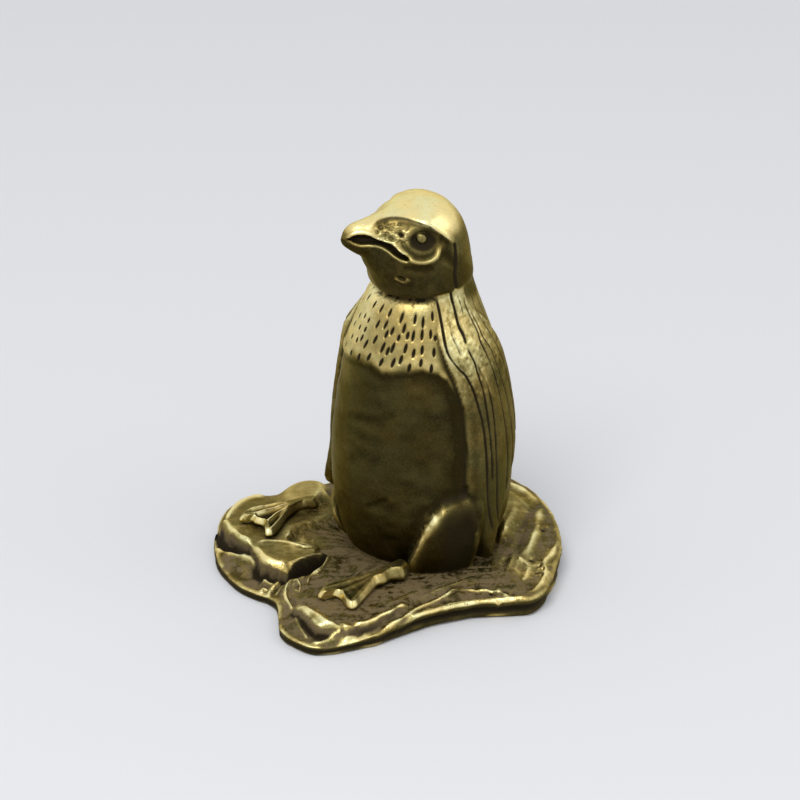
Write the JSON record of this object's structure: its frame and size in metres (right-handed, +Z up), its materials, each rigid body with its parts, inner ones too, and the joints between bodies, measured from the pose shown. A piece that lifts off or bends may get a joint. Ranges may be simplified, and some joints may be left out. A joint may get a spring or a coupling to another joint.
{
  "type": "penguin figurine",
  "caption": "Small cast brass penguin standing on a ledge of folded rock, flippers at its sides and head turned to its right.",
  "frame": {"origin": "on the ground, under the middle of the rock's outline", "axes": "+Z up through the bird, -Y the way its chest faces, +X its left side"},
  "size_m": [0.0352, 0.037, 0.0405],
  "materials": {
    "figure_brass": "cast, antiqued dark olive brown, rubbed bright on the high spots",
    "rock_brass": "cast, matt brown patina in the hollows, bright edges on the ridges"
  },
  "bodies": {
    "root": {"rock": "rock_brass", "trunk": "figure_brass", "head": "figure_brass", "left_flipper": "figure_brass", "right_flipper": "figure_brass", "left_thigh": "figure_brass", "right_thigh": "figure_brass", "left_foot": "figure_brass", "right_foot": "figure_brass", "tail": "figure_brass"}
  },
  "joints": []
}
